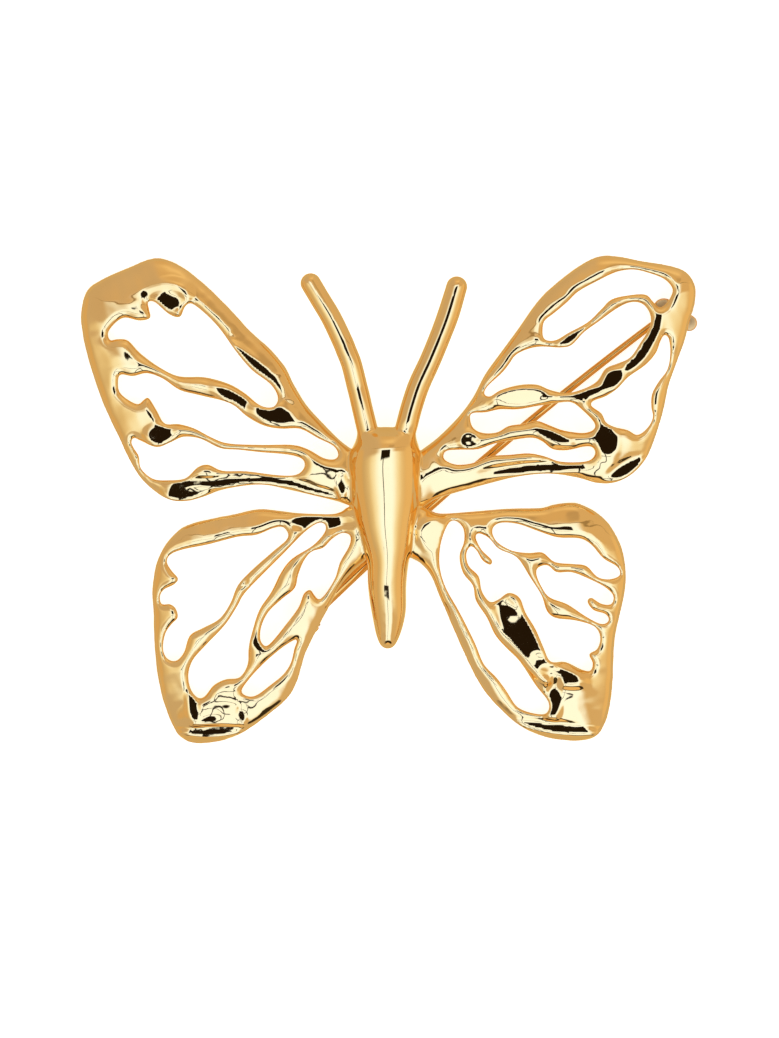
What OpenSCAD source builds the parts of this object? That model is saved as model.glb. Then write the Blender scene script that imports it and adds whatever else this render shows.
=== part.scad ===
// Butterfly brooch lying on its back, seen from above as it is worn.
// One gold coloured casting, a pin stem behind it, and the rivet of the stem's hinge.

/* [Overall] */
// From wing tip to wing tip, mm
wing_span = 80; // [64:0.5:100]
// From the top of the upper wings to the foot of the lower wings, mm
wing_height = 63.5; // [52:0.5:80]
// Height of the wings' middle surface at the body, above the table, mm
wing_lift = 5.2; // [4.6:0.1:7]

/* [Wings] */
// Metal in front of the middle surface, mm
wing_front = 1.5; // [1.2:0.05:2]
// Metal behind the middle surface, mm
wing_back = 1.1; // [0.9:0.05:1.5]
// Width over which the outer rim rolls over in front, mm
rim_roll = 2.8; // [1.6:0.1:3.4]
// Width over which the outer rim rolls over behind, mm
back_roll = 1.2; // [0.8:0.1:1.6]
// Width of the soft edge round each opening, mm
edge_soft = 0.42; // [0.2:0.02:0.55]
// Depth of that soft edge, mm
edge_depth = 0.75; // [0.4:0.05:0.85]

/* [Body and antennae] */
// Front of the body above its widest level, mm
body_front = 4.1; // [3:0.1:5.5]
// Back of the body below its widest level, mm
body_back = 1.5; // [1:0.1:1.9]
// Thickness of an antenna across the photograph's view, mm
antenna_d = 2.65; // [2:0.05:3.2]
// Height of an antenna's middle above the wings' middle surface, mm
antenna_lift = 0.9; // [0.4:0.1:1.5]

/* [Pin stem] */
// Height of the stem's middle above the table, mm
stem_level = 1.5; // [1.4:0.05:1.8]
// Stem diameter at the hinge, mm
stem_d = 1.35; // [1:0.05:1.5]
// Stem diameter in the catch, mm
stem_catch_d = 0.85; // [0.6:0.05:0.95]
// Length of the sharpened point, mm
point_l = 2.4; // [1.6:0.1:3.6]
// How far the stem bows sideways from a straight line, mm
stem_bow = 1.1; // [0:0.1:1.6]

/* [Hinge and catch] */
// Outside diameter of the eye at the foot of the stem, mm
eye_d = 1.9; // [1.6:0.05:2.2]
// Length of that eye between the two ears, mm
eye_l = 1.6; // [1.2:0.1:2.2]
// Thickness of each ear, mm
ear_t = 0.65; // [0.5:0.05:0.9]
// How far the ears stand out round the eye, mm
ear_rim = 0.2; // [0.1:0.05:0.3]
// Rivet diameter, mm
rivet_d = 0.9; // [0.7:0.05:1.1]
// Rivet head diameter, mm
head_d = 1.4; // [1.2:0.05:1.7]
// Rivet head thickness, mm
head_t = 0.28; // [0.2:0.02:0.4]
// Gap between the rivet and the bore that turns on it, mm
turn_gap = 0.05; // [0.03:0.01:0.08]
// Gap between the rivet and the ears that hold it, and under its heads, mm
hold_gap = 0.025; // [0.02:0.005:0.04]
// Gap on each side of the eye, mm
side_gap = 0.1; // [0.06:0.01:0.15]
// Gap all round the stem in the catch, mm
catch_gap = 0.18; // [0.12:0.01:0.25]
// Wall of the catch's hook, mm
hook_t = 0.75; // [0.6:0.05:0.85]
// Length of the hook along the stem, mm
hook_l = 2.2; // [1.6:0.1:3]
// Thickness of the catch's foot plate, mm
foot_t = 0.8; // [0.6:0.05:1]
// Metal between the hook's bore and the foot plate, mm
foot_rise = 0.1; // [0.05:0.05:0.2]
// Radius of the foot plate's end on the wing, mm
foot_inner_r = 1.42; // [1.2:0.02:1.6]
// Radius of the foot plate's end beyond the rim, mm
foot_outer_r = 1.03; // [0.9:0.01:1.2]

/* [Hidden] */

gold = [0.89, 0.71, 0.38];
gold_stem = [0.84, 0.64, 0.31];
gold_rivet = [0.80, 0.60, 0.30];

// The outlines below are charted by hand from the front view.
// A chart point is [right of the body's middle, above the chart's middle line].
// Each number is a share of the named size: so many of chart_span parts of the wing span,
// and so many of chart_height parts of the wing height.
chart_span = 619;
chart_height = 492;
function place(p) = [p[0] * wing_span / chart_span, p[1] * wing_height / chart_height];

// Outer edges of the wings, closed inside the body.
upper_left_edge = [
    [-36, 51], [-48, 60], [-65, 77], [-82, 96], [-94, 116], [-103, 134], [-118, 152],
    [-138, 170], [-160, 194], [-187, 220], [-212, 238], [-235, 244], [-262, 234], [-288, 222.5],
    [-303, 211], [-309, 190], [-307, 165], [-299, 133], [-286, 96], [-271, 64], [-257, 35],
    [-242, 15], [-221, 1], [-203, -1], [-186, 3], [-161, 11.5], [-127, 15.5], [-98, 10], [-68, 3],
    [-52, -1], [-43, -4], [-34, -7], [-20, -10], [-10, 4], [-12, 30], [-20, 40]
];
upper_right_edge = [
    [33, 50], [50, 63], [70, 83], [85, 103], [97, 126], [112, 147], [131, 173], [150, 200],
    [167, 217], [190, 234.5], [210, 245], [229, 245.5], [255, 240.5], [283, 236], [300, 229],
    [309, 214], [308, 196], [303, 180], [298, 160], [290, 138], [282, 116], [277, 92],
    [270, 68], [261, 45.5], [247, 28], [229, 18], [210, 17], [190, 22.5], [161, 26.5], [130, 23.5],
    [99, 16], [70, 8], [50, 2], [41, -3], [32, -7.5], [20, -10], [10, 4], [12, 28], [18, 38]
];
lower_left_edge = [
    [-40, -7], [-46, -11], [-54, -13.7], [-66, -14], [-90, -13], [-110, -10.5], [-130, -9], [-155, -14],
    [-185, -20], [-206, -27], [-221, -41], [-232, -61], [-237, -88], [-236, -115], [-235, -146],
    [-232, -176], [-225, -206], [-214, -232], [-201, -243.5], [-184, -245], [-162, -241],
    [-140, -230.5], [-120, -216], [-101, -199.5], [-91, -182], [-83, -155], [-72, -132],
    [-60, -109], [-49, -88], [-36, -72], [-22, -60], [-10, -46], [-8, -20], [-25, -4]
];
lower_right_edge = [
    [35, -7], [43, -10.7], [54, -13.5], [84, -11.5], [120, -8.5], [152, -7.5], [167, -4],
    [186, -2], [203, -8], [219, -20], [231, -38], [238, -60], [239, -84], [235, -108],
    [229, -134], [227, -158], [226, -186], [222, -214], [214, -232.5], [201, -241.5],
    [181, -242.5], [155, -238], [131, -226], [109, -207], [91, -184], [77, -156], [63, -124],
    [52, -98], [43, -76], [32, -63], [18, -55], [8, -40], [8, -16], [22, -3]
];

// Openings of the upper left wing.
opening_ul_a = [
    [-279, 161], [-281, 169], [-273, 179], [-264, 183.5], [-250, 180.5], [-239, 183], [-240, 192],
    [-241, 199], [-234, 199], [-220, 187], [-209, 184], [-204, 194], [-197, 197.5], [-182, 186],
    [-168, 171], [-153, 150], [-137, 131], [-118, 116.5], [-110.5, 103], [-115, 93.5],
    [-128, 95], [-143, 107], [-160, 117], [-184, 123.5], [-210, 124.5], [-230, 134],
    [-249, 148], [-261, 160.5], [-272, 162]
];
opening_ul_b = [
    [-271, 116], [-269, 126], [-256, 124.5], [-242, 127.5], [-226, 122], [-209, 110.5],
    [-188, 105], [-158, 97], [-141, 83.5], [-124, 74.5], [-107, 71.5], [-88, 71.5], [-70, 62],
    [-55, 54.5], [-50, 46], [-54, 41], [-65, 42.5], [-80, 51], [-96, 55.5], [-126, 55.5],
    [-160, 57], [-178, 63.5], [-194, 72], [-210, 76.5], [-224, 77], [-232, 90], [-240, 102.5],
    [-245, 101], [-251, 96.5], [-261, 101], [-269, 108]
];
opening_ul_c = [
    [-257.5, 58], [-255, 62.5], [-247, 59], [-232, 53], [-218, 58], [-205, 63.5], [-188, 61.5],
    [-168, 52], [-150, 50.5], [-128, 48], [-100, 45.5], [-86, 41], [-84, 33], [-92, 25.5],
    [-110, 25], [-142, 29], [-166, 29.5], [-180, 35.5], [-191, 33], [-203, 22], [-220, 20],
    [-236, 21.5], [-248, 32], [-250, 44], [-255, 52]
];

// Openings of the upper right wing.
opening_ur_a = [
    [156, 163], [155, 171], [157, 180], [167, 188], [180, 199], [191, 209.5], [210, 220],
    [229, 229], [246, 231.5], [262, 228], [277, 222], [285, 213], [284, 205.5], [278.5, 197],
    [272, 193.5], [266, 199], [258, 206.5], [240, 205.5], [224, 201.5], [214, 192], [200, 178.5],
    [181, 168], [169, 161], [161, 160]
];
opening_ur_b = [
    [96.5, 107], [100, 114.5], [114, 127.5], [121, 136], [128, 145.5], [140, 151.5], [154, 154],
    [172, 153], [184, 155.5], [196, 168], [211, 179], [229, 192], [243, 198.5], [255, 197],
    [262.5, 187], [262.5, 174], [253, 158], [243, 143.5], [231, 137.5], [218, 132], [210, 120],
    [198, 112.5], [180, 107.5], [163, 110.5], [149, 116], [131, 115.5], [113, 110.5], [102, 104]
];
opening_ur_c = [
    [277, 165.5], [281.5, 162], [283, 147], [280, 131], [271, 118.5], [264.5, 106], [264, 93],
    [265.5, 83], [260, 72.5], [250, 65.5], [240, 70.5], [227, 73.5], [218.5, 78], [214, 87],
    [204, 94.5], [206, 99.5], [218, 104], [230, 112], [241, 123.5], [258, 135.5], [268.5, 147.5],
    [273, 159]
];
opening_ur_d = [
    [82.5, 80], [84, 87], [98, 88], [112, 91], [130, 91], [150, 94.5], [170, 97.5], [184, 98],
    [195, 90], [206, 78.5], [206.5, 71.5], [196, 67.5], [176, 70], [161, 75.5], [149, 79.5],
    [135, 76.5], [121, 74.5], [109, 68], [95, 67.5], [86, 72]
];
opening_ur_e = [
    [55.5, 44], [59, 49.5], [72, 50.5], [90, 51], [106, 56.5], [124, 60], [144, 62.5], [155, 58.5],
    [165, 51], [180, 50], [196, 53.5], [204.5, 53], [207.5, 47], [202, 40], [188, 38],
    [171, 39], [157, 44], [141, 47], [122, 45.5], [102, 44], [86, 37.5], [70, 35.5], [59, 39]
];

// Openings of the lower left wing.
opening_ll_a = [
    [-106, -27], [-100.5, -33], [-102, -40], [-116, -52], [-137, -70.5], [-151, -86],
    [-158, -103], [-169, -119], [-186, -128.5], [-199, -136], [-205, -153], [-213, -161.5],
    [-222, -159], [-226, -149], [-223.5, -134], [-217, -124.5], [-211, -118], [-213, -109],
    [-219, -104.5], [-227, -104.5], [-229, -97], [-225, -90], [-215, -85], [-210.5, -79],
    [-217, -71], [-222, -62], [-218, -54.5], [-205, -49.5], [-180, -44.5], [-151, -37],
    [-132, -35], [-116, -28.5]
];
opening_ll_b = [
    [-70, -23], [-63, -25], [-64, -33], [-76, -46], [-96, -58.5], [-107, -72], [-117, -92],
    [-129, -110], [-136, -131], [-140, -149], [-141, -165], [-149, -178], [-163, -180],
    [-175, -186], [-184, -197], [-191, -198.5], [-198, -190], [-200.5, -176], [-196, -161],
    [-183, -146], [-164, -126], [-152, -108], [-144, -94], [-127, -76], [-104, -53], [-84, -32.5]
];
opening_ll_c = [
    [-46, -33], [-38, -36], [-39, -46], [-48, -62], [-53, -78], [-62, -93], [-69, -99.5],
    [-74, -95], [-78, -90], [-84.5, -94], [-90, -108], [-103, -125.5], [-116, -141.5],
    [-123, -146.5], [-128, -140], [-127, -127], [-120, -112.5], [-106, -99], [-93.5, -88.5],
    [-90, -75], [-84, -60.5], [-76, -51.5], [-65, -48], [-56, -39]
];
opening_ll_d = [
    [-91.5, -140], [-94, -149], [-97.5, -163], [-105, -175], [-119, -186.5], [-132, -196],
    [-141, -197], [-147, -192], [-141, -182], [-131, -170.5], [-118, -158], [-103, -146]
];

// Openings of the lower right wing.
opening_lr_a = [
    [62, -22], [69, -21.5], [75.5, -29], [76, -42], [71.5, -56], [75, -73], [85, -86],
    [88, -101], [99, -118], [107, -135], [118, -148], [132, -162], [148, -186], [161, -203],
    [159, -214], [147, -214.5], [130, -208], [119, -192], [109, -178.5], [96, -164.5],
    [87, -143], [72, -113], [58, -88], [52, -68], [52, -49], [56, -33]
];
opening_lr_b = [
    [83, -46.5], [78.5, -54], [81, -66], [91, -76.5], [94, -91], [102, -102], [111, -99.5],
    [121, -93], [132, -98], [138, -113], [148, -129.5], [156, -148], [163, -162], [178, -162.5],
    [194, -170], [203, -171.5], [205.5, -164], [202, -155], [210, -149.5], [213, -138],
    [207, -127], [188, -121], [168, -118.5], [159, -111], [154, -96], [142, -77], [129, -57.5],
    [111, -49], [101, -38], [91, -33.5], [88, -38], [94, -50], [104, -60], [102.5, -65],
    [94.5, -60.5], [89, -51]
];
opening_lr_c = [
    [112, -23], [104.5, -30], [109, -41.5], [124, -50.5], [141, -53], [155, -52.5], [167, -62],
    [185, -64], [199, -66], [210, -77], [222, -79.5], [232.5, -75.5], [230, -67], [216, -58.5],
    [204, -45], [192, -38.5], [170, -37.5], [150, -31], [130, -24]
];
opening_lr_d = [
    [149, -75], [150.5, -68], [160, -65.5], [169, -72.5], [184, -72.5], [200, -78.5], [217, -87],
    [226, -96], [224, -104.5], [214, -104], [204, -98], [200, -102], [206, -110.5], [218, -114.5],
    [221.5, -121], [214, -124.5], [198, -116.5], [180, -104.5], [162, -97.5], [154, -87]
];

// Each wing: edge, openings, root, corner that lies lowest, that corner's lift, heart.
root_left = place([-40, 0]);
root_right = place([40, 0]);
corner_ul = place([-300, 200]);
corner_ur = place([300, 205]);
corner_ll = place([-200, -240]);
corner_lr = place([205, -238]);

// The back of a low corner touches the table. The corner over the catch stays above its hook.
low_lift = wing_back;
foot_sink = 0.4;
catch_lift = stem_level + stem_catch_d / 2 + catch_gap + foot_rise + foot_t - foot_sink + wing_back;

wings = [
    [upper_left_edge, [opening_ul_a, opening_ul_b, opening_ul_c], root_left, corner_ul, low_lift,
        [-180, 100]],
    [upper_right_edge, [opening_ur_a, opening_ur_b, opening_ur_c, opening_ur_d, opening_ur_e],
        root_right, corner_ur, catch_lift, [180, 110]],
    [lower_left_edge, [opening_ll_a, opening_ll_b, opening_ll_c, opening_ll_d],
        root_left, corner_ll, low_lift, [-135, -85]],
    [lower_right_edge, [opening_lr_a, opening_lr_b, opening_lr_c, opening_lr_d],
        root_right, corner_lr, low_lift, [130, -85]]
];

// Smooth closed curve through charted points, with more steps where they lie far apart.
function curve_point(a, b, c, d, t) =
    0.5 * (2 * b + (c - a) * t + (2 * a - 5 * b + 4 * c - d) * t * t
        + (3 * b - a - 3 * c + d) * t * t * t);
function smooth(chart, chord) = let (n = len(chart)) [
    for (i = [0:n - 1])
        let (a = chart[(i + n - 1) % n], b = chart[i], c = chart[(i + 1) % n], d = chart[(i + 2) % n],
            steps = max(1, round(norm(c - b) / chord)))
        for (j = [0:steps - 1]) place(curve_point(a, b, c, d, j / steps))
];

// Twice the signed area, so that every outline can be turned the same way round.
function turning(p) = let (n = len(p))
    [for (i = [0:n - 1]) cross(p[i], p[(i + 1) % n])] * [for (i = [0:n - 1]) 1];
function reversed(p) = [for (i = [len(p) - 1:-1:0]) p[i]];
function anticlockwise(p) = turning(p) > 0 ? p : reversed(p);

// Outward direction at each point, averaged over its neighbours, so it shortens at a sharp tip.
function unit(v) = v / max(norm(v), 0.0001);
function side(a, b) = let (d = unit(b - a)) [d[1], -d[0]];
function outward(p, i) = let (n = len(p))
    (side(p[(i + n - 2) % n], p[(i + n - 1) % n]) + side(p[(i + n - 1) % n], p[i])
        + side(p[i], p[(i + 1) % n]) + side(p[(i + 1) % n], p[(i + 2) % n])) / 4;
function grown(p, by) = [for (i = [0:len(p) - 1]) p[i] + by * outward(p, i)];

// Height of a wing's middle surface: level at the root, lower and lower towards its corner.
function middle(p, root, corner, lift) =
    wing_lift - (wing_lift - lift) * pow(norm(p - root) / norm(corner - root), 2);
function lifted(ring, wing, above) =
    [for (p = ring) [p[0], p[1], middle(p, wing[2], wing[3], wing[4]) + above]];

// Walls between rings of n points stacked from the back to the front.
function ring_walls(n, m) = [
    for (k = [0:m - 2]) for (i = [0:n - 1]) let (a = k * n + i, b = k * n + (i + 1) % n)
        each [[a, a + n, b], [b, a + n, b + n]]
];

// One closed solid from rings of equal count, with a fan to a middle point at each end.
module fanned_solid(rings, first_mid, last_mid) {
    n = len(rings[0]);
    m = len(rings);
    polyhedron(
        points = concat([for (r = rings) for (p = r) p], [first_mid, last_mid]),
        faces = concat(
            [for (i = [0:n - 1]) [m * n, i, (i + 1) % n]],
            ring_walls(n, m),
            [for (i = [0:n - 1]) [m * n + 1, (m - 1) * n + (i + 1) % n, (m - 1) * n + i]]
        ),
        convexity = 10
    );
}

// Rolled rim: each row is [share of the roll inwards, share of the full thickness].
front_rim = [for (s = [0.12, 0.45, 1]) [s, sqrt(1 - (1 - s) * (1 - s))]];
// Chart parts from one point to the next on an edge and on an opening.
edge_chord = 15;
opening_chord = 12;

// An edge drawn in by some millimetres towards the wing's heart, more where it runs aslant.
function drawn_in(edge, heart, by) = [
    for (i = [0:len(edge) - 1]) let (in = unit(heart - edge[i]), square_on = -in * outward(edge, i))
        edge[i] + by / max(0.6, square_on) * in
];

// A wing before it is pierced: a flat pillow with a round rim.
module wing_blank(wing) {
    edge = anticlockwise(smooth(wing[0], edge_chord));
    heart = place(wing[5]);
    fanned_solid(
        concat(
            [lifted(drawn_in(edge, heart, back_roll), wing, -wing_back), lifted(edge, wing, 0)],
            [for (row = front_rim)
                lifted(drawn_in(edge, heart, rim_roll * row[0]), wing, wing_front * row[1])]
        ),
        lifted([heart], wing, -wing_back)[0],
        lifted([heart], wing, wing_front)[0]
    );
}

// How far a cut runs past the metal, and the thickness of a slice that stands for a section.
cut_past = 1;
thin = 0.02;

// What an opening takes out of a wing: straight walls that flare where they meet the front.
module opening_cut(chart, wing) {
    edge = anticlockwise(smooth(chart, opening_chord));
    flared = grown(edge, edge_soft);
    n = len(edge);
    rings = [
        [for (p = edge) [p[0], p[1], -cut_past]],
        lifted(edge, wing, wing_front - edge_depth),
        lifted(flared, wing, wing_front + thin),
        [for (p = flared) [p[0], p[1], wing_lift + wing_front + cut_past]]
    ];
    m = len(rings);
    polyhedron(
        points = [for (r = rings) for (p = r) p],
        faces = concat([[for (i = [0:n - 1]) i]], ring_walls(n, m),
            [[for (i = [n - 1:-1:0]) (m - 1) * n + i]]),
        convexity = 10
    );
}

module pierced_wing(wing) {
    difference() {
        wing_blank(wing);
        for (chart = wing[1]) opening_cut(chart, wing);
    }
}

// Body sections: [chart height, left side, right side, share of body_front, share of body_back].
body_rows = [
    [69, -26, 21, 0.42, 0.55], [63, -31, 26.5, 0.68, 0.8], [52, -35.5, 31, 0.9, 0.95],
    [34, -39.5, 33, 1, 1], [10, -38.5, 31.5, 1, 1], [-15, -33, 28.8, 0.95, 0.96],
    [-40, -27, 24.8, 0.86, 0.9], [-62, -21.3, 20.5, 0.77, 0.84], [-85, -19.7, 19, 0.71, 0.8],
    [-108, -17.8, 17.8, 0.64, 0.75], [-128, -13.8, 14.4, 0.53, 0.68], [-141, -9.6, 10.2, 0.38, 0.55],
    [-149, -4, 4.5, 0.17, 0.3]
];

module body_slice(row) {
    left = place([row[1], row[0]]);
    right = place([row[2], row[0]]);
    half = (right[0] - left[0]) / 2;
    translate([(left[0] + right[0]) / 2, left[1], wing_lift]) rotate([90, 0, 0])
        linear_extrude(thin, center = true)
            polygon([for (a = [0:22.5:337.5]) [half * cos(a),
                sin(a) * (sin(a) > 0 ? body_front * row[3] : body_back * row[4])]]);
}

module body() {
    for (i = [0:len(body_rows) - 2]) hull() {
        body_slice(body_rows[i]);
        body_slice(body_rows[i + 1]);
    }
}

// Antenna sections: [right, above, share of antenna_d, share of antenna_lift].
left_antenna = [
    [-17, 54, 0.96, 0.6], [-21.5, 74, 0.98, 1], [-26, 93, 0.97, 1.1], [-31, 114, 0.97, 1.1],
    [-36.5, 136, 0.96, 1], [-46, 160, 0.93, 0.9], [-57, 183, 0.93, 0.7], [-68, 201.5, 0.94, 0.5],
    [-77.5, 216, 0.95, 0.3]
];
right_antenna = [
    [13, 54, 1, 0.6], [18.5, 74, 1.02, 1], [23.5, 93, 1.02, 1.1], [31, 115.5, 1.02, 1.1],
    [42, 139.5, 1, 1], [52.5, 165, 1, 0.9], [61, 188, 1.02, 0.7], [68.8, 212.5, 0.98, 0.4]
];

// A ring of points round a middle line, square to the way that it runs in plan.
round_sides = 12;
function ring_about(at, way, r) = let (across = [-way[1], way[0], 0] / norm([way[0], way[1]]))
    [for (i = [0:round_sides - 1]) let (a = 360 * i / round_sides)
        at + r * (cos(a) * across + [0, 0, sin(a)])];

module antenna(rows) {
    at = [for (row = rows) concat(place([row[0], row[1]]), wing_lift + antenna_lift * row[3])];
    r = [for (row = rows) antenna_d / 2 * row[2]];
    last = len(rows) - 1;
    way = [for (i = [0:last]) unit(at[min(i + 1, last)] - at[max(i - 1, 0)])];
    fanned_solid(
        concat([for (i = [0:last]) ring_about(at[i], way[i], r[i])],
            [for (a = [25, 50, 72]) ring_about(at[last] + r[last] * sin(a) * way[last],
                way[last], r[last] * cos(a))]),
        at[0],
        at[last] + r[last] * way[last]
    );
}

// A thin disc that faces along a level direction.
module disc(at, way, r) {
    translate(at) rotate([0, 90, atan2(way[1], way[0])])
        cylinder(h = thin, r = r, center = true, $fn = 8);
}

// The stem's middle line runs from the hinge to its tip, bowed sideways.
hinge_at = place([-82, -122]);
tip_at = place([299, 201.5]);
stem_run = norm(tip_at - hinge_at);
stem_way = unit(tip_at - hinge_at);
stem_angle = atan2(stem_way[1], stem_way[0]);
function stem_point(t) = let (p = hinge_at + t * (tip_at - hinge_at)
    + 4 * stem_bow * t * (1 - t) * [-stem_way[1], stem_way[0]]) [p[0], p[1], stem_level];
point_start = 1 - point_l / stem_run;
point_blunt = 0.25;
function stem_r(t) = t > point_start
    ? stem_catch_d / 2 * max(point_blunt, (1 - t) / (1 - point_start))
    : (stem_d + (stem_catch_d - stem_d) * t / point_start) / 2;
stem_stops = concat([for (i = [0:10]) i / 10 * point_start], [(1 + point_start) / 2, 1]);

way_step = 0.01;
function stem_way_at(t) = stem_point(t + way_step) - stem_point(t - way_step);

module along_axis() {
    translate([hinge_at[0], hinge_at[1], stem_level]) rotate([0, 0, stem_angle + 90])
        rotate([0, 90, 0]) children();
}

// Ears that hold the rivet, let into the back of the lower left wing.
ear_r = eye_d / 2 + ear_rim;
ear_mid = eye_l / 2 + side_gap + ear_t / 2;
ear_sink = 0.5;
ear_top = middle(hinge_at, root_left, corner_ll, low_lift) - wing_back + ear_sink;

module hinge_ears() {
    for (end = [-1, 1]) difference() {
        hull() {
            along_axis() translate([0, 0, end * ear_mid])
                cylinder(h = ear_t, r = ear_r, center = true, $fn = 24);
            translate([hinge_at[0], hinge_at[1], ear_top - thin]) rotate([0, 0, stem_angle + 90])
                translate([end * ear_mid, 0, 0]) cube([ear_t, 2 * ear_r, 2 * thin], center = true);
        }
        along_axis() cylinder(h = 3 * (eye_l + 2 * ear_t), r = rivet_d / 2 + hold_gap,
            center = true, $fn = 32);
    }
}

// The catch: a foot plate on the wing's back and a hook round the stem, open towards the table.
catch_share = 0.969;
catch_at = stem_point(catch_share);
catch_way = stem_way_at(catch_share);
catch_bore = stem_catch_d / 2 + catch_gap;
foot_low = stem_level + catch_bore + foot_rise;
foot_inner = [277, 192];
foot_outer = [302.5, 178];
mouth_share = 0.9;

module catch_foot(spot, r) {
    at = place(spot);
    translate([at[0], at[1], foot_low]) cylinder(h = foot_t, r = r, $fn = 20);
}

module pin_catch() {
    hull() {
        catch_foot(foot_inner, foot_inner_r);
        catch_foot(foot_outer, foot_outer_r);
    }
    translate(catch_at) rotate([0, 0, atan2(catch_way[1], catch_way[0])]) rotate([90, 0, 90])
        linear_extrude(hook_l, center = true) difference() {
            circle(r = catch_bore + hook_t, $fn = 28);
            circle(r = catch_bore, $fn = 28);
            translate([-mouth_share * catch_bore, -2 * (catch_bore + hook_t)])
                square([2 * mouth_share * catch_bore, 2 * (catch_bore + hook_t)]);
        }
}

module butterfly() {
    color(gold) union() {
        for (wing = wings) pierced_wing(wing);
        body();
        antenna(left_antenna);
        antenna(right_antenna);
        hinge_ears();
        pin_catch();
    }
}

module pin_stem() {
    color(gold_stem) union() difference() {
        union() {
            along_axis() cylinder(h = eye_l, r = eye_d / 2, center = true, $fn = 32);
            for (i = [0:len(stem_stops) - 2]) hull() {
                disc(stem_point(stem_stops[i]), stem_way_at(stem_stops[i]), stem_r(stem_stops[i]));
                disc(stem_point(stem_stops[i + 1]), stem_way_at(stem_stops[i + 1]),
                    stem_r(stem_stops[i + 1]));
            }
        }
        along_axis() cylinder(h = 2 * eye_l, r = rivet_d / 2 + turn_gap, center = true, $fn = 32);
    }
}

module hinge_rivet() {
    reach = ear_mid + ear_t / 2 + hold_gap;
    color(gold_rivet) along_axis() union() {
        cylinder(h = 2 * reach, r = rivet_d / 2, center = true, $fn = 32);
        for (end = [-1, 1]) translate([0, 0, end * (reach + head_t / 2)])
            cylinder(h = head_t, r = head_d / 2, center = true, $fn = 32);
    }
}

butterfly();
pin_stem();
hinge_rivet();
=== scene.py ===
# Butterfly brooch: the finish and the fine form of one polished gold casting and its pin.
# Lengths are worked out in millimetres and turned to metres when a mesh is made.
import math
import bpy
import numpy as np
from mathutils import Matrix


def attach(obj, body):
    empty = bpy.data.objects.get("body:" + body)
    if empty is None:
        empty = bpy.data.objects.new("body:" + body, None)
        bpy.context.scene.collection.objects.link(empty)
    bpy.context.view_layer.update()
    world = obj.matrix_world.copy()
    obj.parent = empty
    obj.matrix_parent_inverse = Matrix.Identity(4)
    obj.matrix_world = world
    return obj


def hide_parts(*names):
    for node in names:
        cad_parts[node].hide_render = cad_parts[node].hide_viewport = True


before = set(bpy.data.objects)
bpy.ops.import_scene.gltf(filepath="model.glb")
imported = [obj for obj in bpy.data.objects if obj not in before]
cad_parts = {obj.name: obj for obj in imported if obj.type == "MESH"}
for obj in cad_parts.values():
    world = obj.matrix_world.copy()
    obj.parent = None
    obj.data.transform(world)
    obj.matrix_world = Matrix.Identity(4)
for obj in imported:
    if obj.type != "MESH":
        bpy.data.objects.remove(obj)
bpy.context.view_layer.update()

# The casting. Lengths in mm.
casting = {
    "span": 80.0, "height": 63.5,              # wing tip to wing tip, and top to foot
    "chartSpan": 619.0, "chartHeight": 492.0,  # the same two in the parts that the charts are drawn in
    "midLift": 5.2,                            # wings' middle surface at the body, above the table
    "catchLift": 3.705,                        # and at the corner that the catch stands under
    "front": 1.6, "back": 1.1,                 # metal before and behind the middle surface
    "backRoll": 1.3, "backEdge": 0.5,          # how far in the back rounds over: outer edge, openings
    "bodyFront": 4.1, "bodyBack": 1.5,         # body before and behind the middle surface
    "antennaD": 2.8, "antennaLift": 0.9,       # wire, and how far it lies over the middle surface
    "join": 0.4,                               # soft join where two wings meet
    "crease": 0.3, "fillet": 0.9,              # soft joins: body to wings, and antennae to both
    "cell": 0.28,                              # size of the mesh's faces
}

# Outlines charted from the front view, as (right of the body's middle, above the chart's
# middle line) in parts of the wing span and of the wing height.
upperLeftEdge = [
    (-36, 51), (-48, 60), (-65, 77), (-82, 96), (-94, 116), (-103, 134), (-118, 152), (-138, 170),
    (-160, 194), (-187, 220), (-212, 238), (-235, 244), (-262, 234), (-288, 222.5), (-303, 211),
    (-309, 190), (-307, 165), (-299, 133), (-286, 96), (-271, 64), (-257, 35), (-242, 15), (-221, 1),
    (-203, -1), (-186, 3), (-161, 11.5), (-127, 15.5), (-98, 10), (-68, 3), (-52, -1), (-43, -4),
    (-34, -7), (-20, -10), (-10, 4), (-12, 30), (-20, 40)]
upperRightEdge = [
    (33, 50), (50, 63), (70, 83), (85, 103), (97, 126), (112, 147), (131, 173), (150, 200), (167, 217),
    (190, 234.5), (210, 245), (229, 245.5), (255, 240.5), (283, 236), (300, 229), (309, 214),
    (308, 196), (303, 180), (298, 160), (290, 138), (282, 116), (277, 92), (270, 68), (261, 45.5),
    (247, 28), (229, 18), (210, 17), (190, 22.5), (161, 26.5), (130, 23.5), (99, 16), (70, 8), (50, 2),
    (41, -3), (32, -7.5), (20, -10), (10, 4), (12, 28), (18, 38)]
lowerLeftEdge = [
    (-40, -7), (-46, -11), (-54, -13.7), (-66, -14), (-90, -13), (-110, -10.5), (-130, -9), (-155, -14),
    (-185, -20), (-206, -27), (-221, -41), (-232, -61), (-237, -88), (-236, -115), (-235, -146),
    (-232, -176), (-225, -206), (-214, -232), (-201, -243.5), (-184, -245), (-162, -241),
    (-140, -230.5), (-120, -216), (-101, -199.5), (-91, -182), (-83, -155), (-72, -132), (-60, -109),
    (-49, -88), (-36, -72), (-22, -60), (-10, -46), (-8, -20), (-25, -4)]
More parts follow.
